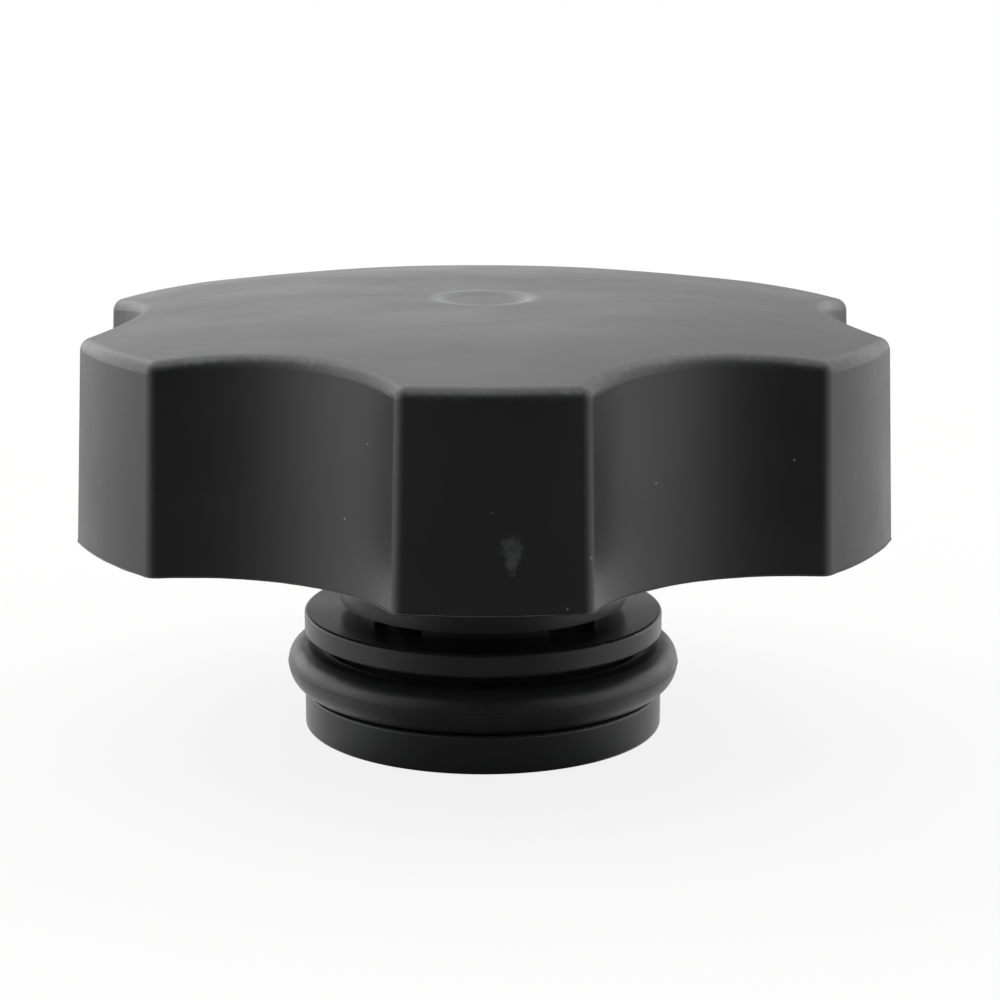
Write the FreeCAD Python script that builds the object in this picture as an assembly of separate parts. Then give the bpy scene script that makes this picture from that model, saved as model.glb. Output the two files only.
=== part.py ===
import FreeCAD, Part
import math
import os

# A screw cap for a coolant expansion tank, in millimetres, +Z up.
# The origin is the centre of the plug's foot, on which the cap stands.

# Star-shaped cap, outside
lobe_count = 6
cap_radius = 37.0            # lobes' outer radius at the rim
cap_height = 19.3            # rim to crown
crown_flat_radius = 14.0     # flat middle of the top
shoulder_drop = 2.0          # fall of the top from the crown to the lobes
lobe_draft = 2.4             # degrees, lobes lean in towards the top
scallop_radius = 18.1        # finger scallop's radius at the rim
scallop_depth = 5.9          # from the lobes' radius to the scallop's root
scallop_draft = 1.8          # degrees, scallops widen towards the top
lobe_edge_round = 1.2        # upright edges of the lobes
top_edge_round = 1.1         # edge between the top and the sides
gate_mark_radius = 4.4       # shallow dish left by the moulding gate
gate_floor_radius = 3.0
gate_depth = 0.2

# Star-shaped cap, inside
shell_wall = 2.4
top_wall = 2.6
thread_bore_radius = 24.0    # wall that carries the neck thread
sleeve_wall = 2.4
sleeve_setback = 0.8         # sleeve's end above the rim
rib_thickness = 1.6
rib_setback = 1.2            # ribs' lower edge above the rim
finger_count = 6             # snap fingers that hold the swivelling insert
finger_wall = 1.8
finger_slot = 1.6
barb_height = 1.6
barb_lead = 0.8              # lead-in at the barbs' tips
pad_length = 2.6             # thrust pad under the crown
pad_radius = 4.0

# Plug of the insert, from its foot upwards
plug_radius = 16.3           # lower land and flange
foot_ring = 3.4              # width of the ring that the cap stands on
foot_round = 0.3
land_height = 3.5
groove_width = 5.15
groove_radius = 13.7
flange_thickness = 2.1
flange_round = 0.3
vent_gap = 0.95              # ring-shaped outlet between flange and neck
neck_radius = 13.0
neck_wall = 1.6
neck_exposed = 8.1           # neck's lower end to the cap's rim
neck_step = 1.4              # neck is slimmer above the rim by this much
spigot_wall = 1.5
spigot_length = 6.0          # plug's spigot inside the neck, above the flange
snap_bead = 0.3
snap_bead_drop = 1.6         # snap bead below the spigot's end
vent_count = 4
vent_width = 6.0
vent_height = 2.0
vent_angle = 45.0

# Swivel head on top of the insert
head_radius = 7.0
head_thickness = 2.0
head_round = 0.4
stalk_radius = 5.0
stalk_length = 3.0
roof_thickness = 2.0         # wall that the relief spring pushes against
spring_spigot_height = 1.2   # collars that centre the relief spring
collar_wall = 1.2

# O-ring, whose widest line lies above its middle
ring_section = 4.0
ring_belly = 2.65            # widest line above the ring's underside
ring_brow = 1.6              # top above the widest line

# Relief valve
foot_recess = 1.2            # floor of the plug stands above the foot
floor_wall = 1.8
inlet_radius = 6.4
seat_height = 0.6            # seat bead around the inlet
seat_margin = 1.0            # seat's crest outside the inlet
seal_thickness = 1.6
seal_hole_radius = 4.6
plate_thickness = 1.2
plate_clearance = 0.9        # flow gap round the plate
guide_clearance = 0.2        # ears that guide the plate in the chamber
guide_count = 4
guide_width = 4.0
relief_wire = 1.4
relief_coils = 5.0
spring_edge = 0.3            # plate's edge outside the relief spring
seal_edge = 0.3              # plate's edge outside the seal

# Vacuum valve
stem_radius = 1.2
guide_wall = 0.9
guide_height = 1.6
hub_height = 1.2             # plate's hub inside the seal
port_count = 4
port_radius = 0.8
vacuum_head_thickness = 1.0
vacuum_overlap = 1.0         # head's overlap on the seal
vacuum_wire = 0.5
vacuum_coils = 4.0
vacuum_spring_length = 4.6
clip_thickness = 0.6
clip_lip = 0.35              # clip's edge outside the vacuum spring
clip_groove = 0.3
stem_tip = 0.8

# Clearances
fit_clearance = 0.08         # pieces pushed together
swivel_clearance = 0.12      # turning insert in the cap
valve_clearance = 0.1        # sliding stems and touching seats

# Heights above the foot
groove_bottom = land_height
groove_top = groove_bottom + groove_width
flange_top = groove_top + flange_thickness
neck_bottom = flange_top + vent_gap
rim_z = neck_bottom + neck_exposed
crown_z = rim_z + cap_height
underside_z = crown_z - top_wall
spigot_top = flange_top + spigot_length
head_top = underside_z - pad_length - swivel_clearance
head_bottom = head_top - head_thickness
housing_top = head_bottom - stalk_length
spring_top = housing_top - roof_thickness
floor_top = foot_recess + floor_wall
seat_z = floor_top + seat_height
seal_bottom = seat_z + valve_clearance
plate_bottom = seal_bottom + seal_thickness
plate_top = plate_bottom + plate_thickness
vacuum_head_top = seal_bottom - valve_clearance
clip_bottom = plate_top + vacuum_spring_length
clip_top = clip_bottom + clip_thickness
stem_top = clip_top + stem_tip

# Radii inside the insert
sleeve_radius = thread_bore_radius + sleeve_wall
spigot_radius = neck_radius - neck_wall - fit_clearance
chamber_radius = spigot_radius - spigot_wall
plate_radius = chamber_radius - plate_clearance
relief_coil_radius = plate_radius - spring_edge - relief_wire / 2
spring_spigot_radius = relief_coil_radius - relief_wire / 2 - valve_clearance
guide_bore_radius = stem_radius + valve_clearance
guide_radius = guide_bore_radius + guide_wall
hub_radius = seal_hole_radius - fit_clearance
port_circle = (guide_radius + hub_radius) / 2
vacuum_head_radius = seal_hole_radius + vacuum_overlap
vacuum_coil_radius = guide_radius + valve_clearance + vacuum_wire / 2

axis = FreeCAD.Vector(0, 0, 1)
origin = FreeCAD.Vector(0, 0, 0)
full_turn = 360.0
near_middle = 1.1            # margin that tells the brow from the flat crown's edge
matching = 1e-6              # two lengths are the same within this


def point(radius, height):
    return FreeCAD.Vector(radius, 0, height)


def turned(points):
    """Solid of revolution about Z from a closed outline of (radius, height) points."""
    outline = Part.makePolygon([point(r, z) for r, z in points + points[:1]])
    return Part.Face(outline).revolve(origin, axis, full_turn)


def disc(radius, bottom, top):
    return Part.makeCylinder(radius, top - bottom, point(0, bottom))


def tube(inner, outer, bottom, top):
    return disc(outer, bottom, top).cut(disc(inner, bottom, top))


def spoke(width, start, end, bottom, top):
    """Radial bar along +X with parallel sides."""
    corner = FreeCAD.Vector(start, -width / 2, bottom)
    return Part.makeBox(end - start, width, top - bottom, corner)


def around(shape, count, first=0.0):
    """Copies of a shape, evenly spaced about Z."""
    copies = []
    for index in range(count):
        copy = shape.copy()
        copy.rotate(origin, axis, first + index * full_turn / count)
        copies.append(copy)
    return copies


def joined(shapes):
    return shapes[0].multiFuse(shapes[1:])


def edges_on_circles(shape, radius, heights):
    """Round edges of one radius about Z that lie at the given heights."""
    found = []
    for edge in shape.Edges:
        curve = edge.Curve
        if not isinstance(curve, Part.Circle):
            continue
        level = any(math.isclose(curve.Center.z, z, abs_tol=matching) for z in heights)
        if level and math.isclose(curve.Radius, radius, abs_tol=matching):
            found.append(edge)
    return found


# Lobes point along -Y and at even steps from it; scallops lie between them.
lobe_angle = -90.0
scallop_angle = lobe_angle + full_turn / lobe_count / 2


def star(wall):
    """Lobed, domed body, drawn in by a wall from the outside of the cap."""
    lean = math.tan(math.radians(lobe_draft))
    bottom_radius = cap_radius - wall
    top_z = crown_z - (top_wall if wall else 0.0)
    edge_radius = bottom_radius - lean * (top_z - shoulder_drop - rim_z)
    run = cap_radius - crown_flat_radius
    crown_radius = (run ** 2 + shoulder_drop ** 2) / (2 * shoulder_drop)

    def top_at(radius):
        beyond = radius - crown_flat_radius
        return top_z - crown_radius + math.sqrt(crown_radius ** 2 - beyond ** 2)

    edge = point(edge_radius, top_at(edge_radius))
    middle_radius = (edge_radius + crown_flat_radius) / 2
    middle = point(middle_radius, top_at(middle_radius))
    flat_end = point(crown_flat_radius, top_z)
    outline = Part.Wire([
        Part.makeLine(point(0, rim_z), point(bottom_radius, rim_z)),
        Part.makeLine(point(bottom_radius, rim_z), edge),
        Part.Arc(edge, middle, flat_end).toShape(),
        Part.makeLine(flat_end, point(0, top_z)),
        Part.makeLine(point(0, top_z), point(0, rim_z)),
    ])
    body = Part.Face(outline).revolve(origin, axis, full_turn)
    widen = math.tan(math.radians(scallop_draft)) * cap_height
    cutter = Part.makeCone(scallop_radius + wall, scallop_radius + wall + widen, cap_height)
    cutter.translate(point(cap_radius - scallop_depth + scallop_radius, rim_z))
    return body.cut(joined(around(cutter, lobe_count, scallop_angle)))


def rounded_star():
    """Outside of the cap, with its upright edges and then its top edge rounded."""
    body = star(0.0)
    upright = []
    for edge in body.Edges:
        heights = [vertex.Point.z for vertex in edge.Vertexes]
        if max(heights) - min(heights) > cap_height / 2:
            upright.append(edge)
    body = body.makeFillet(lobe_edge_round, upright)
    shoulder = next(face for face in body.Faces if isinstance(face.Surface, Part.SurfaceOfRevolution))
    brow = []
    for edge in shoulder.Edges:
        away = [math.hypot(vertex.Point.x, vertex.Point.y) for vertex in edge.Vertexes]
        if min(away) > crown_flat_radius * near_middle:
            brow.append(edge)
    return body.makeFillet(top_edge_round, brow)


def snap_fingers():
    """Ring of barbed fingers that holds the insert's head and lets it turn."""
    inner = head_radius + swivel_clearance
    barb_top = head_bottom - swivel_clearance
    barb_bottom = barb_top - barb_height
    barb_inner = stalk_radius + swivel_clearance
    ring = turned([
        (barb_inner, barb_top),
        (inner, barb_top),
        (inner, crown_z),
        (inner + finger_wall, crown_z),
        (inner + finger_wall, barb_bottom),
        (barb_inner + barb_lead, barb_bottom),
        (barb_inner, barb_bottom + barb_lead),
    ])
    slot = spoke(finger_slot, 0.0, cap_radius, barb_bottom, crown_z)
    return ring.cut(joined(around(slot, finger_count)))


def star_cap():
    """One moulding: lobed shell, threaded sleeve, ribs, snap fingers and thrust pad."""
    sleeve = tube(thread_bore_radius, sleeve_radius, rim_z + sleeve_setback, crown_z)
    rib = spoke(rib_thickness, sleeve_radius - sleeve_wall / 2, cap_radius, rim_z + rib_setback, crown_z)
    ribs = around(rib, lobe_count, lobe_angle)
    pad = disc(pad_radius, head_top + swivel_clearance, crown_z)
    hollow = star(shell_wall).cut(joined([sleeve, pad, snap_fingers()] + ribs))
    gate = turned([
        (0.0, crown_z - gate_depth),
        (gate_floor_radius, crown_z - gate_depth),
        (gate_mark_radius, crown_z),
        (gate_mark_radius, crown_z + gate_depth),
        (0.0, crown_z + gate_depth),
    ])
    return rounded_star().cut(hollow).cut(gate)


def valve_body():
    """Plug: foot ring, O-ring groove, flange, vented spigot and the valve's seat."""
    recess_radius = plug_radius - foot_ring
    bead_z = spigot_top - snap_bead_drop
    seat_radius = inlet_radius + seat_margin
    body = turned([
        (inlet_radius, foot_recess),
        (recess_radius, foot_recess),
        (recess_radius, 0.0),
        (plug_radius, 0.0),
        (plug_radius, groove_bottom),
        (groove_radius, groove_bottom),
        (groove_radius, groove_top),
        (plug_radius, groove_top),
        (plug_radius, flange_top),
        (spigot_radius, flange_top),
        (spigot_radius, bead_z - snap_bead),
        (spigot_radius + snap_bead, bead_z),
        (spigot_radius, bead_z + snap_bead),
        (spigot_radius, spigot_top),
        (chamber_radius, spigot_top),
        (chamber_radius, floor_top),
        (seat_radius + seat_height, floor_top),
        (seat_radius, seat_z),
        (seat_radius - seat_height, floor_top),
        (inlet_radius, floor_top),
    ])
    body = body.makeFillet(foot_round, edges_on_circles(body, plug_radius, [0.0]))
    lips = edges_on_circles(body, plug_radius, [groove_bottom, groove_top, flange_top])
    body = body.makeFillet(flange_round, lips)
    vent = spoke(vent_width, 0.0, plug_radius, flange_top, flange_top + vent_height)
    return body.cut(joined(around(vent, vent_count, vent_angle)))


def spring_housing():
    """Upper half of the insert: neck, spring chamber, stalk and swivel head."""
    bore = spigot_radius + fit_clearance
    shoulder = spigot_top + fit_clearance
    bead_z = spigot_top - snap_bead_drop
    slim_radius = neck_radius - neck_step
    core_radius = stalk_radius - roof_thickness
    core_top = head_top - roof_thickness
    collar_inner = spring_spigot_radius - collar_wall
    collar_bottom = spring_top - spring_spigot_height
    body = turned([
        (neck_radius, neck_bottom),
        (neck_radius, rim_z),
        (slim_radius, rim_z + neck_step),
        (slim_radius, housing_top),
        (stalk_radius, housing_top),
        (stalk_radius, head_bottom),
        (head_radius, head_bottom),
        (head_radius, head_top),
        (0.0, head_top),
        (0.0, core_top),
        (core_radius, core_top),
        (core_radius, spring_top),
        (collar_inner, spring_top),
        (collar_inner, collar_bottom),
        (spring_spigot_radius, collar_bottom),
        (spring_spigot_radius, spring_top),
        (chamber_radius, spring_top),
        (chamber_radius, shoulder),
        (bore, shoulder),
        (bore, bead_z + snap_bead),
        (bore + snap_bead, bead_z),
        (bore, bead_z - snap_bead),
        (bore, neck_bottom),
    ])
    rounded = edges_on_circles(body, head_radius, [head_bottom, head_top])
    rounded += edges_on_circles(body, slim_radius, [housing_top])
    return body.makeFillet(head_round, rounded)


def body_o_ring():
    """Seal that rests on the lower land and stretches round the groove's floor."""
    half = ring_section / 2
    middle = groove_radius + fit_clearance + half
    widest = groove_bottom + fit_clearance + ring_belly
    slant = math.sqrt(0.5)

    def quarter(side, rise):
        """Quarter of the section, from its widest line on one side to its top or underside."""
        start = point(middle + side * half, widest)
        bulge = point(middle + side * half * slant, widest + rise * slant)
        return Part.Arc(start, bulge, point(middle, widest + rise)).toShape()

    quarters = [quarter(side, rise) for side in (1, -1) for rise in (ring_brow, -ring_belly)]
    section = Part.Wire(Part.__sortEdges__(quarters))
    return Part.Face(section).revolve(origin, axis, full_turn)


def relief_seal():
    return tube(seal_hole_radius, plate_radius - seal_edge, seal_bottom, plate_bottom)


def relief_plate():
    """Guided valve plate with a hub for its seal and ports for the vacuum valve."""
    collar_top = plate_top + spring_spigot_height
    reach = disc(chamber_radius - guide_clearance, plate_bottom, plate_top)
    ear = spoke(guide_width, 0.0, chamber_radius, plate_bottom, plate_top).common(reach)
    body = joined([
        disc(plate_radius, plate_bottom, plate_top),
        disc(hub_radius, plate_bottom - hub_height, plate_bottom),
        disc(guide_radius, plate_top, plate_top + guide_height),
        tube(spring_spigot_radius - collar_wall, spring_spigot_radius, plate_top, collar_top),
    ] + around(ear, guide_count))
    port = disc(port_radius, plate_bottom - hub_height, plate_top)
    port.translate(point(port_circle, 0))
    bore = disc(guide_bore_radius, plate_bottom - hub_height, plate_top + guide_height)
    return body.cut(joined([bore] + around(port, port_count))).removeSplitter()


def vacuum_valve():
    """Poppet: head under the seal, stem through the plate, groove for the clip."""
    neck = stem_radius - clip_groove
    return turned([
        (0.0, vacuum_head_top - vacuum_head_thickness),
        (vacuum_head_radius, vacuum_head_top - vacuum_head_thickness),
        (vacuum_head_radius, vacuum_head_top),
        (stem_radius, vacuum_head_top),
        (stem_radius, clip_bottom),
        (neck, clip_bottom),
        (neck, clip_top),
        (stem_radius, clip_top),
        (neck, stem_top),
        (0.0, stem_top),
    ])


def vacuum_clip():
    """Open clip in the stem's groove, which the vacuum spring pushes against."""
    grip = stem_radius - clip_groove + fit_clearance
    outer = vacuum_coil_radius + vacuum_wire / 2 + clip_lip
    mouth = spoke(2 * grip, 0.0, outer, clip_bottom, clip_top)
    return tube(grip, outer, clip_bottom, clip_top).cut(mouth)


def coil_spring(radius, wire, coils, bottom, top):
    """Round wire wound between two seats, with its ends ground flat."""
    low = bottom + fit_clearance
    high = top - fit_clearance
    helix = Part.makeHelix((high - low) / coils, high - low, radius)
    helix.translate(point(0, low))
    section = Part.Wire(Part.makeCircle(wire / 2, point(radius, low), FreeCAD.Vector(0, 1, 0)))
    wound = Part.Wire(helix).makePipeShell([section], True, True)
    return wound.common(disc(radius + wire, low, high))


def relief_spring():
    return coil_spring(relief_coil_radius, relief_wire, relief_coils, plate_top, spring_top)


def vacuum_spring():
    return coil_spring(vacuum_coil_radius, vacuum_wire, vacuum_coils, plate_top, clip_bottom)


pieces = [
    star_cap,
    valve_body,
    spring_housing,
    body_o_ring,
    relief_seal,
    relief_plate,
    relief_spring,
    vacuum_valve,
    vacuum_clip,
    vacuum_spring,
]

os.makedirs("parts", exist_ok=True)
for piece in pieces:
    piece().exportStep("parts/" + piece.__name__ + ".step")
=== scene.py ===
from math import cos, radians, sin

import bmesh
import bpy
from mathutils import Matrix, Vector


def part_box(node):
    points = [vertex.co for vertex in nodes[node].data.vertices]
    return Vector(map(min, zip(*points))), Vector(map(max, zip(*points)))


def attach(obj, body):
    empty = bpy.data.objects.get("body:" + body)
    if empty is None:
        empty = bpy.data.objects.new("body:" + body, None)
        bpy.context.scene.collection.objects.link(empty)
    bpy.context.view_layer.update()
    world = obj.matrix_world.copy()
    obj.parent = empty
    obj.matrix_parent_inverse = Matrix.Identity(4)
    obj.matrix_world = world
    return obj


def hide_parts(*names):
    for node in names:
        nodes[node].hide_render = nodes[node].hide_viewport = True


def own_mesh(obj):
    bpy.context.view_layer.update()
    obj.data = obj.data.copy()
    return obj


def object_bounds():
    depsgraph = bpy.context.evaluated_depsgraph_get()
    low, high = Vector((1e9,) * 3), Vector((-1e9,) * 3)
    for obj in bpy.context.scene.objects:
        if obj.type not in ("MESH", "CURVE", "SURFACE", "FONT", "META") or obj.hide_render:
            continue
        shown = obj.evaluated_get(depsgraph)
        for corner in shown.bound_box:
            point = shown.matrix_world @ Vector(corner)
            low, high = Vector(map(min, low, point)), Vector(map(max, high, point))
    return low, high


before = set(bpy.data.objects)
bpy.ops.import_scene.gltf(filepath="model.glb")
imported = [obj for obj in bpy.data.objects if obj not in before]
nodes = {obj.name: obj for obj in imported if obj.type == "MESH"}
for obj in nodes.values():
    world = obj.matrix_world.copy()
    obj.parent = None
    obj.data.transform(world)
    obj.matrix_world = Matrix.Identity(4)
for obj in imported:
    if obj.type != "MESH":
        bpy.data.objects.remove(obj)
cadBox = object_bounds()
scene = bpy.context.scene
mm = 0.001
print("frame loaded:", ", ".join(sorted(nodes)))

noiseSpan = {"From Min": 0.3, "From Max": 0.7}      # where most of a noise's values lie
noiseCore = {"From Min": 0.35, "From Max": 0.65}    # the middle of them
thereAndBack = 0.5      # ping-pong scale: 0 to 1 rises to this and falls again


def linear(hexColour):
    # sRGB hex to the linear colour that the sockets take
    channels = [int(hexColour[i:i + 2], 16) / 255 for i in (1, 3, 5)]
    return [c / 12.92 if c <= 0.04045 else ((c + 0.055) / 1.055) ** 2.4 for c in channels] + [1.0]


def addNode(tree, kind, settings=None, inputs=None):
    # one node with its settings; an input is a value or another node's output
    node = tree.nodes.new(kind)
    for key, value in (settings or {}).items():
        setattr(node, key, value)
    for key, value in (inputs or {}).items():
        if isinstance(value, bpy.types.NodeSocket):
            tree.links.new(value, node.inputs[key])
        else:
            node.inputs[key].default_value = value
    return node


def perMetre(size):
    # texture scale for a pattern whose features are this many mm wide
    return 1 / (size * mm)


def newMaterial(name):
    material = bpy.data.materials.new(name)
    material.use_nodes = True
    tree = material.node_tree
    tree.nodes.clear()
    shader = addNode(tree, "ShaderNodeBsdfPrincipled")
    addNode(tree, "ShaderNodeOutputMaterial", None, {"Surface": shader.outputs[0]})
    place = addNode(tree, "ShaderNodeTexCoord").outputs["Object"]
    return material, tree, shader, place


def fromAxis(tree, place):
    # a point's distance from the cap's axis, and its height
    flat = addNode(tree, "ShaderNodeVectorMath", {"operation": "MULTIPLY"}, {
        0: place, 1: (1.0, 1.0, 0.0)})
    away = addNode(tree, "ShaderNodeVectorMath", {"operation": "LENGTH"}, {0: flat.outputs[0]})
    height = addNode(tree, "ShaderNodeSeparateXYZ", None, {0: place})
    return away.outputs["Value"], height.outputs["Z"]


# Glass-filled polyamide, moulded against a spark-eroded steel tool: near black, satin, with a fine
# grain. It darkens where it faces the eye and goes pale grey where it is seen flat. In mm.
capFinish = {
    "dark": "#121313", "light": "#1a1b1b", "specular": 0.6, "smooth": 0.32, "rough": 0.42,
    "grain": 0.42, "grainHeight": 0.010,      # real grain is near 0.1 and would not show
    "grainNoise": {"Detail": 3.0, "Roughness": 0.65}, "bump": 0.5,
    "blotch": 9.0, "blotchNoise": {"Detail": 5.0, "Roughness": 0.6},
    "smear": 8.0, "smearNoise": {"Detail": 5.0, "Roughness": 0.6, "Distortion": 0.3},
    "smearDraw": (0.7, 1.0, 1.0),
    "film": 0.13, "filmFrom": 0.85, "filmTo": 0.99,      # by how far a face looks up
    "filmLeast": 0.65,      # share of the film left where it was wiped
    "wear": 0.9, "wearColour": "#5c5e5d", "wearFrom": 0.25, "wearTo": 1.0,      # as for the film
    "wearPatch": 3.2, "wearNoise": {"Detail": 6.0, "Roughness": 0.7},
    "wearOpen": {"From Min": 0.50, "From Max": 0.66},
    "dustColour": "#6a6c6a", "dustCell": 1.9, "dustRadius": 0.11, "dustShare": 0.14,
    "dustEdge": (1.4, 0.5),      # where a speck fades out and where it is full, in its radii
    "scuffColour": "#484a4a", "raggedness": 1.6,
    "scuff": {"place": (1.43, -36.8, 25.0), "size": (1.0, 3.0, 1.35), "share": 0.5},
    "tail": {"place": (1.38, -36.8, 24.0), "size": (0.52, 3.0, 1.05), "share": 0.5},
    "hollow": {"place": (1.5, -36.8, 25.1), "size": (0.5, 3.0, 0.36), "share": 0.22},
    "blobEdge": {"From Min": 1.9, "From Max": 1.15},
    "blushColour": "#34373a", "blushInner": 2.7, "blushOuter": 5.3, "blushGloss": 0.3,
    "crownFrom": 0.6, "crownTo": 0.3,      # below the top, so that the blush stays on it
}


def mouldedPolyamide(look):
    material, tree, shader, place = newMaterial("mouldedPolyamideSatinBlack")
    grain = addNode(tree, "ShaderNodeTexNoise", None, {
        "Vector": place, "Scale": perMetre(look["grain"]), **look["grainNoise"]})
    blotch = addNode(tree, "ShaderNodeTexNoise", None, {
        "Vector": place, "Scale": perMetre(look["blotch"]), **look["blotchNoise"]})
    # wiped smears, drawn out a little sideways
    drawn = addNode(tree, "ShaderNodeMapping", None, {"Vector": place, "Scale": look["smearDraw"]})
    smear = addNode(tree, "ShaderNodeTexNoise", None, {
        "Vector": drawn.outputs[0], "Scale": perMetre(look["smear"]), **look["smearNoise"]})
    # a dust film lies on what faces up, thinner where it was wiped
    facing = addNode(tree, "ShaderNodeSeparateXYZ", None, {
        0: addNode(tree, "ShaderNodeTexCoord").outputs["Normal"]})
    settled = addNode(tree, "ShaderNodeMapRange", {"interpolation_type": "SMOOTHSTEP"}, {
        "Value": facing.outputs["Z"], "From Min": look["filmFrom"], "From Max": look["filmTo"],
        "To Max": look["film"]})
    wiped = addNode(tree, "ShaderNodeMapRange", None, {
        "Value": smear.outputs[0], **noiseCore, "To Min": look["filmLeast"]})
    film = addNode(tree, "ShaderNodeMath", {"operation": "MULTIPLY"}, {
        0: settled.outputs[0], 1: wiped.outputs[0]})
    # handling has rubbed the rounded shoulder pale, in patches
    shoulder = addNode(tree, "ShaderNodeMapRange", None, {
        "Value": facing.outputs["Z"], "From Min": look["wearFrom"], "From Max": look["wearTo"]})
    rubbed = addNode(tree, "ShaderNodeMath", {"operation": "PINGPONG"}, {
        0: shoulder.outputs[0], 1: thereAndBack})
    patch = addNode(tree, "ShaderNodeTexNoise", None, {
        "Vector": place, "Scale": perMetre(look["wearPatch"]), **look["wearNoise"]})
    patches = addNode(tree, "ShaderNodeMapRange", {"interpolation_type": "SMOOTHSTEP"}, {
        "Value": patch.outputs[0], **look["wearOpen"], "To Max": look["wear"]})
    wear = addNode(tree, "ShaderNodeMath", {"operation": "MULTIPLY"}, {
        0: rubbed.outputs[0], 1: patches.outputs[0]})
    # dust: a few of the cells hold one pale speck
    cells = addNode(tree, "ShaderNodeTexVoronoi", None, {
        "Vector": place, "Scale": perMetre(look["dustCell"])})
    reach = look["dustRadius"] / look["dustCell"]
    fadeAt, fullAt = look["dustEdge"]
    speck = addNode(tree, "ShaderNodeMapRange", {"interpolation_type": "SMOOTHSTEP"}, {
        "Value": cells.outputs["Distance"], "From Min": reach * fadeAt, "From Max": reach * fullAt})
    lot = addNode(tree, "ShaderNodeSeparateColor", None, {"Color": cells.outputs["Color"]})
    chosen = addNode(tree, "ShaderNodeMath", {"operation": "GREATER_THAN"}, {
        0: lot.outputs[0], 1: 1 - look["dustShare"]})
    dust = addNode(tree, "ShaderNodeMath", {"operation": "MULTIPLY"}, {
        0: speck.outputs[0], 1: chosen.outputs[0]})
    # one smudge on the lobe at -Y: a drop with a tail and a ragged edge, fainter in its middle
    blobs = []
    for blob in (look["scuff"], look["tail"], look["hollow"]):
        at = addNode(tree, "ShaderNodeMapping", {"vector_type": "TEXTURE"}, {
            "Vector": place, "Location": [c * mm for c in blob["place"]],
            "Scale": [c * mm for c in blob["size"]]})
        far = addNode(tree, "ShaderNodeVectorMath", {"operation": "LENGTH"}, {0: at.outputs[0]})
        ragged = addNode(tree, "ShaderNodeMath", {"operation": "MULTIPLY_ADD"}, {
            0: grain.outputs[0], 1: look["raggedness"], 2: far.outputs["Value"]})
        blobs.append(addNode(tree, "ShaderNodeMapRange", {"interpolation_type": "SMOOTHSTEP"}, {
            "Value": ragged.outputs[0], **look["blobEdge"], "To Max": blob["share"]}))
    whole = addNode(tree, "ShaderNodeMath", {"operation": "MAXIMUM"}, {
        0: blobs[0].outputs[0], 1: blobs[1].outputs[0]})
    scuff = addNode(tree, "ShaderNodeMath", {"operation": "SUBTRACT", "use_clamp": True}, {
        0: whole.outputs[0], 1: blobs[2].outputs[0]})
    # blush round the gate mark, where the plastic froze first
    away, height = fromAxis(tree, place)
    ring = addNode(tree, "ShaderNodeMapRange", None, {
        "Value": away, "From Min": look["blushInner"] * mm, "From Max": look["blushOuter"] * mm})
    band = addNode(tree, "ShaderNodeMath", {"operation": "PINGPONG"}, {
        0: ring.outputs[0], 1: thereAndBack})
    top = cadBox[1].z
    crown = addNode(tree, "ShaderNodeMapRange", None, {
        "Value": height, "From Min": top - look["crownFrom"] * mm,
        "From Max": top - look["crownTo"] * mm})
    blush = addNode(tree, "ShaderNodeMath", {"operation": "MULTIPLY"}, {
        0: band.outputs[0], 1: crown.outputs[0]})

    # a colour Mix has its factor on 0 and its colours on 6 and 7
    colour = addNode(tree, "ShaderNodeMix", {"data_type": "RGBA"}, {
        0: blotch.outputs[0], 6: linear(look["dark"]), 7: linear(look["light"])}).outputs[2]
    for mask, tint in ((film, "dustColour"), (wear, "wearColour"), (blush, "blushColour"),
                       (scuff, "scuffColour"), (dust, "dustColour")):
        colour = addNode(tree, "ShaderNodeMix", {"data_type": "RGBA"}, {
            0: mask.outputs[0], 6: colour, 7: linear(look[tint])}).outputs[2]
    tree.links.new(colour, shader.inputs["Base Color"])
    roughness = addNode(tree, "ShaderNodeMapRange", None, {
        "Value": smear.outputs[0], **noiseSpan, "To Min": look["smooth"], "To Max": look["rough"]})
    polished = addNode(tree, "ShaderNodeMath", {"operation": "MULTIPLY_ADD"}, {
        0: blush.outputs[0], 1: -look["blushGloss"], 2: roughness.outputs[0]})
    tree.links.new(polished.outputs[0], shader.inputs["Roughness"])
    shader.inputs["Specular IOR Level"].default_value = look["specular"]
    bump = addNode(tree, "ShaderNodeBump", None, {
        "Strength": look["bump"], "Distance": look["grainHeight"] * mm, "Height": grain.outputs[0]})
    tree.links.new(bump.outputs[0], shader.inputs["Normal"])
    return material


# Acetal copolymer, moulded in a smooth tool: a greyer black than the cap's, and slightly waxy.
plugFinish = {"dark": "#202121", "light": "#282929", "specular": 0.34, "smooth": 0.28,
              "rough": 0.35, "wave": 6.0, "grain": 0.5, "grainHeight": 0.002}

# Nitrile rubber, compression moulded: soft black with a dull, uneven bloom.
rubberFinish = {"dark": "#171818", "light": "#242525", "specular": 0.45, "smooth": 0.30,
                "rough": 0.42, "wave": 2.4, "grain": 0.35, "grainHeight": 0.008}

# Natural acetal, moulded: milky off-white and smooth.
acetalFinish = {"dark": "#cfcdc4", "light": "#e2e0d8", "specular": 0.5, "smooth": 0.30,
                "rough": 0.42, "wave": 2.8, "grain": 0.5, "grainHeight": 0.004}

# What the three share: a slow wave in colour and gloss, and a fine grain.
plainMoulding = {"waveNoise": {"Detail": 5.0, "Roughness": 0.65},
                 "grainNoise": {"Detail": 3.0, "Roughness": 0.6}, "bump": 0.5}


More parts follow.
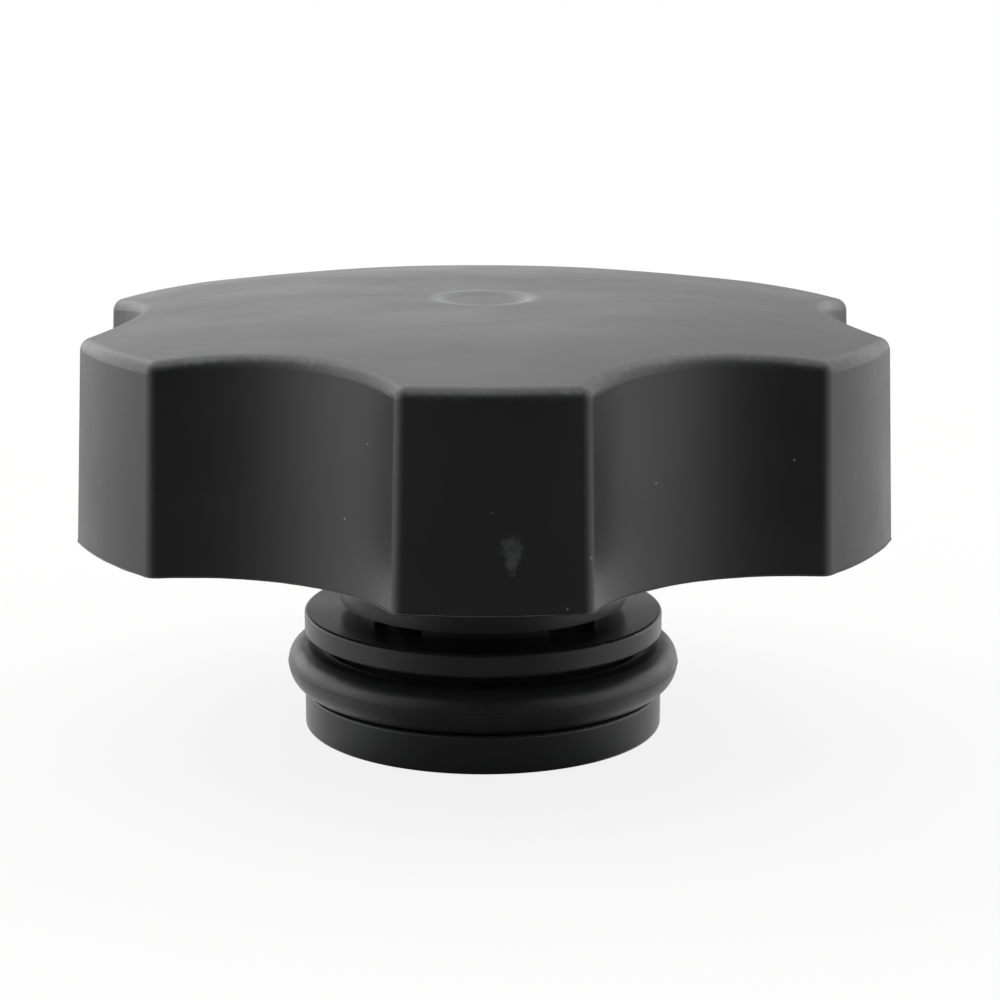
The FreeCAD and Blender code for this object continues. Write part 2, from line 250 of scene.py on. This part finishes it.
def mouldedPlain(name, finish):
    look = {**plainMoulding, **finish}
    material, tree, shader, place = newMaterial(name)
    wave = addNode(tree, "ShaderNodeTexNoise", None, {
        "Vector": place, "Scale": perMetre(look["wave"]), **look["waveNoise"]})
    grain = addNode(tree, "ShaderNodeTexNoise", None, {
        "Vector": place, "Scale": perMetre(look["grain"]), **look["grainNoise"]})
    colour = addNode(tree, "ShaderNodeMix", {"data_type": "RGBA"}, {
        0: wave.outputs[0], 6: linear(look["dark"]), 7: linear(look["light"])})
    tree.links.new(colour.outputs[2], shader.inputs["Base Color"])
    roughness = addNode(tree, "ShaderNodeMapRange", None, {
        "Value": wave.outputs[0], **noiseSpan, "To Min": look["smooth"], "To Max": look["rough"]})
    tree.links.new(roughness.outputs[0], shader.inputs["Roughness"])
    shader.inputs["Specular IOR Level"].default_value = look["specular"]
    bump = addNode(tree, "ShaderNodeBump", None, {
        "Strength": look["bump"], "Distance": look["grainHeight"] * mm, "Height": grain.outputs[0]})
    tree.links.new(bump.outputs[0], shader.inputs["Normal"])
    return material


# Drawn spring steel: grey with fine die lines along the wire, so its gloss is broken up.
steelFinish = {"dark": "#8b8c8e", "light": "#b4b5b6", "smooth": 0.22, "rough": 0.42,
               "line": 0.18, "lineHeight": 0.004}      # mm; real die lines are too fine to show

# Turned brass: warm yellow with fine rings from the lathe tool.
brassFinish = {"dark": "#a98345", "light": "#cfa963", "smooth": 0.18, "rough": 0.34,
               "line": 0.3, "lineHeight": 0.004}      # mm; a real feed is too fine to show

# What the two share: lines that go round the axis.
metalLines = {"lineNoise": {"Detail": 4.0, "Roughness": 0.6}, "bump": 0.4}


def workedMetal(name, finish):
    look = {**metalLines, **finish}
    material, tree, shader, place = newMaterial(name)
    # the pattern reads only the distance from the axis and the height
    away, height = fromAxis(tree, place)
    turned = addNode(tree, "ShaderNodeCombineXYZ", None, {"X": away, "Z": height})
    lines = addNode(tree, "ShaderNodeTexNoise", None, {
        "Vector": turned.outputs[0], "Scale": perMetre(look["line"]), **look["lineNoise"]})
    colour = addNode(tree, "ShaderNodeMix", {"data_type": "RGBA"}, {
        0: lines.outputs[0], 6: linear(look["dark"]), 7: linear(look["light"])})
    tree.links.new(colour.outputs[2], shader.inputs["Base Color"])
    roughness = addNode(tree, "ShaderNodeMapRange", None, {
        "Value": lines.outputs[0], **noiseSpan, "To Min": look["smooth"], "To Max": look["rough"]})
    tree.links.new(roughness.outputs[0], shader.inputs["Roughness"])
    shader.inputs["Metallic"].default_value = 1.0
    bump = addNode(tree, "ShaderNodeBump", None, {
        "Strength": look["bump"], "Distance": look["lineHeight"] * mm, "Height": lines.outputs[0]})
    tree.links.new(bump.outputs[0], shader.inputs["Normal"])
    return material


capPlastic = mouldedPolyamide(capFinish)
plugPlastic = mouldedPlain("mouldedAcetalBlack", plugFinish)
sealRubber = mouldedPlain("mouldedNitrileRubber", rubberFinish)
valvePlastic = mouldedPlain("mouldedAcetalNatural", acetalFinish)
springSteel = workedMetal("drawnSpringSteel", steelFinish)
valveBrass = workedMetal("turnedBrass", brassFinish)

nodeFinish = {
    "star_cap": capPlastic, "valve_body": plugPlastic, "spring_housing": plugPlastic,
    "body_o_ring": sealRubber, "relief_seal": sealRubber, "relief_plate": valvePlastic,
    "relief_spring": springSteel, "vacuum_valve": valveBrass, "vacuum_clip": springSteel,
    "vacuum_spring": springSteel,
}
for nodeName, material in nodeFinish.items():
    mesh = nodes[nodeName].data
    mesh.materials.clear()
    mesh.materials.append(material)
print("finishes on", len(nodeFinish), "nodes")


def newTree(name, sizes):
    # a geometry tree with one named input for each size
    tree = bpy.data.node_groups.new(name, "GeometryNodeTree")
    tree.interface.new_socket("Geometry", in_out="INPUT", socket_type="NodeSocketGeometry")
    for key in sizes:
        tree.interface.new_socket(key, in_out="INPUT", socket_type="NodeSocketFloat")
    tree.interface.new_socket("Geometry", in_out="OUTPUT", socket_type="NodeSocketGeometry")
    return tree, addNode(tree, "NodeGroupInput").outputs


def closeTree(tree, geometry, material):
    real = addNode(tree, "GeometryNodeRealizeInstances", None, {0: geometry})
    smooth = addNode(tree, "GeometryNodeSetShadeSmooth", None, {"Geometry": real.outputs[0]})
    painted = addNode(tree, "GeometryNodeSetMaterial", None, {
        "Geometry": smooth.outputs[0], "Material": material})
    addNode(tree, "NodeGroupOutput", None, {0: painted.outputs[0]})


def growPiece(name, tree, sizes, body, start=None):
    # runs the tree once and keeps its result as a plain mesh that rides on a body
    piece = bpy.data.objects.new(name, start or bpy.data.meshes.new(name))
    scene.collection.objects.link(piece)
    modifier = piece.modifiers.new("grow", "NODES")
    modifier.node_group = tree
    for item in tree.interface.items_tree:
        if item.in_out == "INPUT" and item.name in sizes:
            modifier[item.identifier] = float(sizes[item.name])
    evaluated = piece.evaluated_get(bpy.context.evaluated_depsgraph_get())
    made = bpy.data.meshes.new_from_object(evaluated)
    piece.modifiers.clear()
    piece.data = made
    made.name = name
    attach(piece, body)
    print(name, "has", len(made.polygons), "faces")
    return piece


def helixTree(name, sizes, steps):
    # a right-handed line on a radius, which rises in three spans:
    # closed turns, open turns, closed turns
    tree, size = newTree(name, sizes)
    turns = size["turns"]
    wound = addNode(tree, "GeometryNodeCurveSpiral", None, {
        "Resolution": steps, "Rotations": turns, "Start Radius": size["radius"],
        "End Radius": size["radius"], "Height": 0.0, "Reverse": True})
    along = addNode(tree, "GeometryNodeSplineParameter").outputs["Factor"]
    turned = addNode(tree, "ShaderNodeMath", {"operation": "MULTIPLY"}, {
        0: along, 1: turns}).outputs[0]
    lastStart = addNode(tree, "ShaderNodeMath", {"operation": "SUBTRACT"}, {
        0: turns, 1: size["closed"]}).outputs[0]
    spans = ((0.0, size["closed"], size["closedRise"]),
             (size["closed"], lastStart, size["openRise"]),
             (lastStart, turns, size["closedRise"]))
    height = size["bottom"]
    for begin, end, rise in spans:
        step = addNode(tree, "ShaderNodeMapRange", None, {
            "Value": turned, "From Min": begin, "From Max": end, "To Max": rise})
        height = addNode(tree, "ShaderNodeMath", None, {
            0: height, 1: step.outputs[0]}).outputs[0]
    lift = addNode(tree, "ShaderNodeCombineXYZ", None, {"Z": height})
    rising = addNode(tree, "GeometryNodeSetPosition", None, {
        "Geometry": wound.outputs[0], "Offset": lift.outputs[0]})
    return tree, size, rising.outputs[0]


# Thread ridge inside the sleeve: right-handed, with run-outs that fade into the wall. In mm.
neckThread = {"radius": 24.05, "turns": 2.6, "bottom": 22.8, "pitch": 4.2, "depth": 1.25,
              "rootWidth": 2.3, "crestWidth": 0.8, "steps": 120,
              "runOut": 0.07, "runOutLeast": 0.08,      # shares of the length and of the section
              "closed": 0.001}      # turns; a thread has none, but the span can't be nothing


def makeNeckThread(look):
    sizes = {
        "radius": look["radius"] * mm, "turns": look["turns"], "closed": look["closed"],
        "closedRise": 0.0, "openRise": look["pitch"] * look["turns"] * mm,
        "bottom": look["bottom"] * mm, "depth": look["depth"] * mm,
        "rootWidth": look["rootWidth"] * mm, "crestWidth": look["crestWidth"] * mm,
        "runOut": look["runOut"],
    }
    tree, size, path = helixTree("neckThreadTree", sizes, look["steps"])
    path = addNode(tree, "GeometryNodeSetCurveNormal", {"mode": "Z_UP"}, {"Curve": path})
    # full height but for the two ends
    along = addNode(tree, "GeometryNodeSplineParameter").outputs["Factor"]
    fade = addNode(tree, "ShaderNodeMath", {"operation": "PINGPONG"}, {0: along, 1: thereAndBack})
    grown = addNode(tree, "ShaderNodeMapRange", {"interpolation_type": "SMOOTHSTEP"}, {
        "Value": fade.outputs[0], "From Max": size["runOut"], "To Min": look["runOutLeast"]})
    section = addNode(tree, "GeometryNodeCurvePrimitiveQuadrilateral", {"mode": "TRAPEZOID"}, {
        "Height": size["depth"], "Bottom Width": size["rootWidth"],
        "Top Width": size["crestWidth"], "Offset": 0.0})
    # turned, and moved by half its depth, so that its root lies on the path and its crest
    # points at the axis
    inwards = addNode(tree, "ShaderNodeMath", {"operation": "DIVIDE"}, {0: size["depth"], 1: -2.0})
    shift = addNode(tree, "ShaderNodeCombineXYZ", None, {"X": inwards.outputs[0]})
    turned = addNode(tree, "GeometryNodeTransform", None, {
        "Geometry": section.outputs[0], "Translation": shift.outputs[0],
        "Rotation": (0.0, 0.0, radians(90))})
    ridge = addNode(tree, "GeometryNodeCurveToMesh", None, {
        "Curve": path.outputs[0], "Profile Curve": turned.outputs[0], "Scale": grown.outputs[0],
        "Fill Caps": True})
    closeTree(tree, ridge.outputs[0], capPlastic)
    growPiece("neckThread", tree, sizes, "cap")


# Coil springs with closed, ground ends; their places come from the solids that they stand for.
# Wire and travel are in mm, and fixed says which end stays: 0 the lower, 1 the upper.
coils = {
    "reliefCoil": {"node": "relief_spring", "body": "insert", "joint": "relief_lift", "wire": 1.4,
                   "turns": 6.6, "steps": 56, "travel": 2.5, "fixed": 1},
    "vacuumCoil": {"node": "vacuum_spring", "body": "relief", "joint": "vacuum_drop", "wire": 0.5,
                   "turns": 6.0, "steps": 48, "travel": 1.2, "fixed": 0},
}
# Closed turns at each end, their pitch and the first centre line's height in wires, wire's sides.
coilEnds = {"closed": 1.0, "pitch": 1.02, "seated": 1 / 6, "sides": 14}


def makeCoil(name, look):
    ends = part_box(look["node"])
    wire = look["wire"] * mm
    length = ends[1].z - ends[0].z
    closedRise = wire * coilEnds["pitch"]
    seated = wire * coilEnds["seated"]
    sizes = {
        "radius": ends[1].x - wire / 2, "turns": look["turns"], "closed": coilEnds["closed"],
        "closedRise": closedRise, "openRise": length - 2 * closedRise - 2 * seated,
        "bottom": ends[0].z + seated, "wire": wire / 2, "low": ends[0].z, "high": ends[1].z,
    }
    tree, size, path = helixTree(name + "Tree", sizes, look["steps"])
    section = addNode(tree, "GeometryNodeCurvePrimitiveCircle", None, {
        "Resolution": coilEnds["sides"], "Radius": size["wire"]})
    wound = addNode(tree, "GeometryNodeCurveToMesh", None, {
        "Curve": path, "Profile Curve": section.outputs[0], "Fill Caps": True})
    # ground ends: nothing stands past the two seats
    where = addNode(tree, "GeometryNodeInputPosition")
    part = addNode(tree, "ShaderNodeSeparateXYZ", None, {0: where.outputs[0]})
    level = addNode(tree, "ShaderNodeClamp", None, {
        "Value": part.outputs["Z"], "Min": size["low"], "Max": size["high"]})
    seat = addNode(tree, "ShaderNodeCombineXYZ", None, {
        "X": part.outputs["X"], "Y": part.outputs["Y"], "Z": level.outputs[0]})
    cut = addNode(tree, "GeometryNodeSetPosition", None, {
        "Geometry": wound.outputs[0], "Position": seat.outputs[0]})
    closeTree(tree, cut.outputs[0], springSteel)
    piece = growPiece(name, tree, sizes, look["body"])
    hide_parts(look["node"])
    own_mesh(piece)


# Flash left by the moulds, in mm: a fin round the O-ring's widest line, and a ragged bead on the
# skirt's lower edge.
flashLines = {
    "ringFlash": {"node": "body_o_ring", "body": "insert", "slot": "seal_rubber", "thick": 0.05,
                  "uneven": 0.3, "wave": 1.6, "step": 0.5},
    "skirtFlash": {"node": "star_cap", "body": "cap", "slot": "cap_plastic", "thick": 0.08,
                   "uneven": 0.4, "wave": 3.0, "step": 0.25},
}
flashSides = 6
flashNoise = {"Detail": 2.0}
ringSegments = 180
# How the skirt's edge is told: mm for welding and level, then how far its two faces look up.
skirtEdge = {"weld": 0.001, "level": 0.01, "underMost": -0.9, "sideLeast": -0.5}


def ringLine(node, lines):
    # a circle on the ring's widest line
    widest = max(node.data.vertices, key=lambda v: v.co.xy.length).co
    bmesh.ops.create_circle(lines, segments=ringSegments, radius=widest.xy.length)
    bmesh.ops.translate(lines, verts=lines.verts, vec=(0, 0, widest.z))


def skirtLine(node, lines, lowest):
    # the edges between the underside and the outer wall, on a copy of the solid's mesh
    lines.from_mesh(node.data)
    bmesh.ops.remove_doubles(lines, verts=lines.verts, dist=skirtEdge["weld"] * mm)
    highest = lowest + skirtEdge["level"] * mm
    kept = []
    for edge in lines.edges:
        if max(v.co.z for v in edge.verts) > highest or len(edge.link_faces) != 2:
            continue
        middle = (edge.verts[0].co + edge.verts[1].co) / 2
        under, side = sorted((face.normal for face in edge.link_faces), key=lambda n: n.z)
        outward = side.x * middle.x + side.y * middle.y
        if under.z < skirtEdge["underMost"] and side.z > skirtEdge["sideLeast"] and outward > 0:
            kept.append(edge)
    others = set(lines.edges) - set(kept)
    bmesh.ops.delete(lines, geom=list(lines.faces), context="FACES_ONLY")
    bmesh.ops.delete(lines, geom=list(others), context="EDGES")
    loose = [v for v in lines.verts if not v.link_edges]
    bmesh.ops.delete(lines, geom=loose, context="VERTS")


def edgeLoop(name, node):
    # the line along which the flash lies, as a mesh of bare edges
    lines = bmesh.new()
    if node == "body_o_ring":
        ringLine(nodes[node], lines)
    else:
        skirtLine(nodes[node], lines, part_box(node)[0].z)
    mesh = bpy.data.meshes.new(name)
    lines.to_mesh(mesh)
    lines.free()
    return mesh


def makeFlash(name, look):
    sizes = {"thick": look["thick"] * mm, "uneven": look["uneven"],
             "waves": perMetre(look["wave"]), "step": look["step"] * mm}
    tree, size = newTree(name + "Tree", sizes)
    path = addNode(tree, "GeometryNodeMeshToCurve", None, {0: size["Geometry"]})
    path = addNode(tree, "GeometryNodeResampleCurve", {"mode": "LENGTH"}, {
        "Curve": path.outputs[0], "Length": size["step"]})
    ragged = addNode(tree, "ShaderNodeTexNoise", None, {"Scale": size["waves"], **flashNoise})
    least = addNode(tree, "ShaderNodeMath", {"operation": "SUBTRACT"}, {0: 1.0, 1: size["uneven"]})
    grown = addNode(tree, "ShaderNodeMapRange", None, {
        "Value": ragged.outputs[0], **noiseCore, "To Min": least.outputs[0], "To Max": 1.0})
    section = addNode(tree, "GeometryNodeCurvePrimitiveCircle", None, {
        "Resolution": flashSides, "Radius": size["thick"]})
    bead = addNode(tree, "GeometryNodeCurveToMesh", None, {
        "Curve": path.outputs[0], "Profile Curve": section.outputs[0], "Scale": grown.outputs[0]})
    closeTree(tree, bead.outputs[0], nodeFinish[look["node"]])
    growPiece(name, tree, sizes, look["body"], edgeLoop(name, look["node"]))


makeNeckThread(neckThread)
for coilName, coilLook in coils.items():
    makeCoil(coilName, coilLook)
for flashName, flashLook in flashLines.items():
    makeFlash(flashName, flashLook)


# The camera at the photograph's angle: mm and degrees, focal length in pixels of a picture of
# 1000 x 1000, near clip in metres.
shot = {"aside": 1.494, "distance": 224.775, "height": 71.103, "pitch": 12.649, "roll": 0.211,
        "turn": -1.587, "focal": 2542.86, "picture": 1000, "sensor": 36, "clip": 0.01}


def placeCamera(look):
    pitch, roll = radians(look["pitch"]), radians(look["roll"])
    ahead = Vector((0, cos(pitch), -sin(pitch)))
    up = Vector((0, sin(pitch), cos(pitch)))
    right = Vector((1, 0, 0))
    level = Matrix((right * cos(roll) + up * sin(roll), up * cos(roll) - right * sin(roll), -ahead))
    place = Matrix.Translation(Vector((look["aside"], -look["distance"], look["height"])) * mm)
    data = bpy.data.cameras.new("shotCamera")
    data.sensor_width = look["sensor"]
    data.lens = look["focal"] * look["sensor"] / look["picture"]
    data.clip_start = look["clip"]
    camera = bpy.data.objects.new("shotCamera", data)
    scene.collection.objects.link(camera)
    camera.matrix_world = (Matrix.Rotation(radians(look["turn"]), 4, "Z") @ place
                           @ level.transposed().to_4x4())
    scene.camera = camera


# Soft boxes: place and size in metres, power in watts.
softBoxes = {
    "overhead": {"place": (0.0, 0.15, 0.75), "size": 1.4, "power": 4.5},
    "leftSide": {"place": (-0.65, 0.30, 0.26), "size": 1.3, "power": 5.2},
    "rightSide": {"place": (0.65, 0.30, 0.26), "size": 1.3, "power": 3.0},
}


def placeLamps(boxes):
    aim = (cadBox[0] + cadBox[1]) / 2
    for name, look in boxes.items():
        data = bpy.data.lights.new(name, "AREA")
        data.shape = "DISK"
        data.size = look["size"]
        data.energy = look["power"]
        lamp = bpy.data.objects.new(name, data)
        scene.collection.objects.link(lamp)
        lamp.location = look["place"]
        lamp.rotation_euler = (aim - lamp.location).to_track_quat("-Z", "Y").to_euler()


# White room: the lens sees it white all round. Reflections see it white behind the object, dimmer
# on the lens side and in a strip to the right, and the light that it gives is less. The floor lies
# a hair below the foot.
room = {"white": "#ffffff", "floorColour": "#e9e9e7", "fill": 0.45, "half": 4.0, "glow": 0.85,
        "dim": 0.03, "dimAt": -0.98, "brightAt": -0.35,
        "stripDim": 0.66, "stripAt": 0.34, "stripHalf": 0.14, "stripEdge": 0.36,
        "shadowReach": 0.12, "glowReach": 0.4, "floorDrop": 0.02 * mm}


def roomLight(tree, look, outwards):
    # first, 1 for rays from the lens and for reflected and refracted ones;
    # then how white those find the room
    path = addNode(tree, "ShaderNodeLightPath").outputs
    mirrored = addNode(tree, "ShaderNodeMath", {"operation": "MAXIMUM"}, {
        0: path["Is Glossy Ray"], 1: path["Is Transmission Ray"]})
    seen = addNode(tree, "ShaderNodeMath", {"operation": "MAXIMUM"}, {
        0: path["Is Camera Ray"], 1: mirrored.outputs[0]})
    level = addNode(tree, "ShaderNodeVectorMath", {"operation": "NORMALIZE"}, {0: outwards})
    toBack = addNode(tree, "ShaderNodeSeparateXYZ", None, {0: level.outputs[0]})
    graded = addNode(tree, "ShaderNodeMapRange", {"interpolation_type": "SMOOTHSTEP"}, {
        "Value": toBack.outputs["Y"], "From Min": look["dimAt"], "From Max": look["brightAt"],
        "To Min": look["dim"], "To Max": 1.0})
    aside = addNode(tree, "ShaderNodeMath", {"operation": "SUBTRACT"}, {
        0: toBack.outputs["X"], 1: look["stripAt"]})
    offStrip = addNode(tree, "ShaderNodeMath", {"operation": "ABSOLUTE"}, {0: aside.outputs[0]})
    strip = addNode(tree, "ShaderNodeMapRange", {"interpolation_type": "SMOOTHSTEP"}, {
        "Value": offStrip.outputs[0], "From Min": look["stripHalf"], "From Max": look["stripEdge"],
        "To Min": look["stripDim"], "To Max": 1.0})
    shaded = addNode(tree, "ShaderNodeMath", {"operation": "MULTIPLY"}, {
        0: graded.outputs[0], 1: strip.outputs[0]})
    white = addNode(tree, "ShaderNodeMath", {"operation": "MAXIMUM"}, {
        0: path["Is Camera Ray"], 1: shaded.outputs[0]})
    return seen.outputs[0], white.outputs[0]


def makeSky(look):
    world = bpy.data.worlds.new("whiteRoom")
    world.use_nodes = True
    tree = world.node_tree
    tree.nodes.clear()
    outwards = addNode(tree, "ShaderNodeTexCoord").outputs["Generated"]
    seen, white = roomLight(tree, look, outwards)
    level = addNode(tree, "ShaderNodeMix", None, {0: seen, 2: look["fill"], 3: white})
    sky = addNode(tree, "ShaderNodeBackground", None, {
        "Color": linear(look["white"]), "Strength": level.outputs[0]})
    addNode(tree, "ShaderNodeOutputWorld", None, {"Surface": sky.outputs[0]})
    scene.world = world


def makeFloor(look):
    mesh = bpy.data.meshes.new("paleFloor")
    half = look["half"]
    corners = [(-half, -half), (half, -half), (half, half), (-half, half)]
    mesh.from_pydata([(x, y, -look["floorDrop"]) for x, y in corners], [], [(0, 1, 2, 3)])
    floor = bpy.data.objects.new("paleFloor", mesh)
    scene.collection.objects.link(floor)
    material = bpy.data.materials.new("paleFloorPaint")
    material.use_nodes = True
    tree = material.node_tree
    tree.nodes.clear()
    # mostly its own white to the lens, with enough paint near the object to take its shadow
    outwards = addNode(tree, "ShaderNodeTexCoord").outputs["Object"]
    seen, white = roomLight(tree, look, outwards)
    away = addNode(tree, "ShaderNodeVectorMath", {"operation": "LENGTH"}, {0: outwards})
    own = addNode(tree, "ShaderNodeMapRange", {"interpolation_type": "SMOOTHSTEP"}, {
        "Value": away.outputs["Value"], "From Min": look["shadowReach"],
        "From Max": look["glowReach"], "To Min": look["glow"], "To Max": 1.0})
    share = addNode(tree, "ShaderNodeMath", {"operation": "MULTIPLY"}, {0: seen, 1: own.outputs[0]})
    paint = addNode(tree, "ShaderNodeBsdfDiffuse", None, {"Color": linear(look["floorColour"])})
    glow = addNode(tree, "ShaderNodeEmission", None, {
        "Color": linear(look["white"]), "Strength": white})
    front = addNode(tree, "ShaderNodeMixShader", None, {
        0: share.outputs[0], 1: paint.outputs[0], 2: glow.outputs[0]})
    # clear from below, so that the foot can be seen
    clear = addNode(tree, "ShaderNodeBsdfTransparent")
    behind = addNode(tree, "ShaderNodeNewGeometry").outputs["Backfacing"]
    face = addNode(tree, "ShaderNodeMixShader", None, {
        0: behind, 1: front.outputs[0], 2: clear.outputs[0]})
    addNode(tree, "ShaderNodeOutputMaterial", None, {"Surface": face.outputs[0]})
    mesh.materials.append(material)


placeCamera(shot)
placeLamps(softBoxes)
makeSky(room)
makeFloor(room)
scene.view_settings.view_transform = "Standard"
print("studio set")
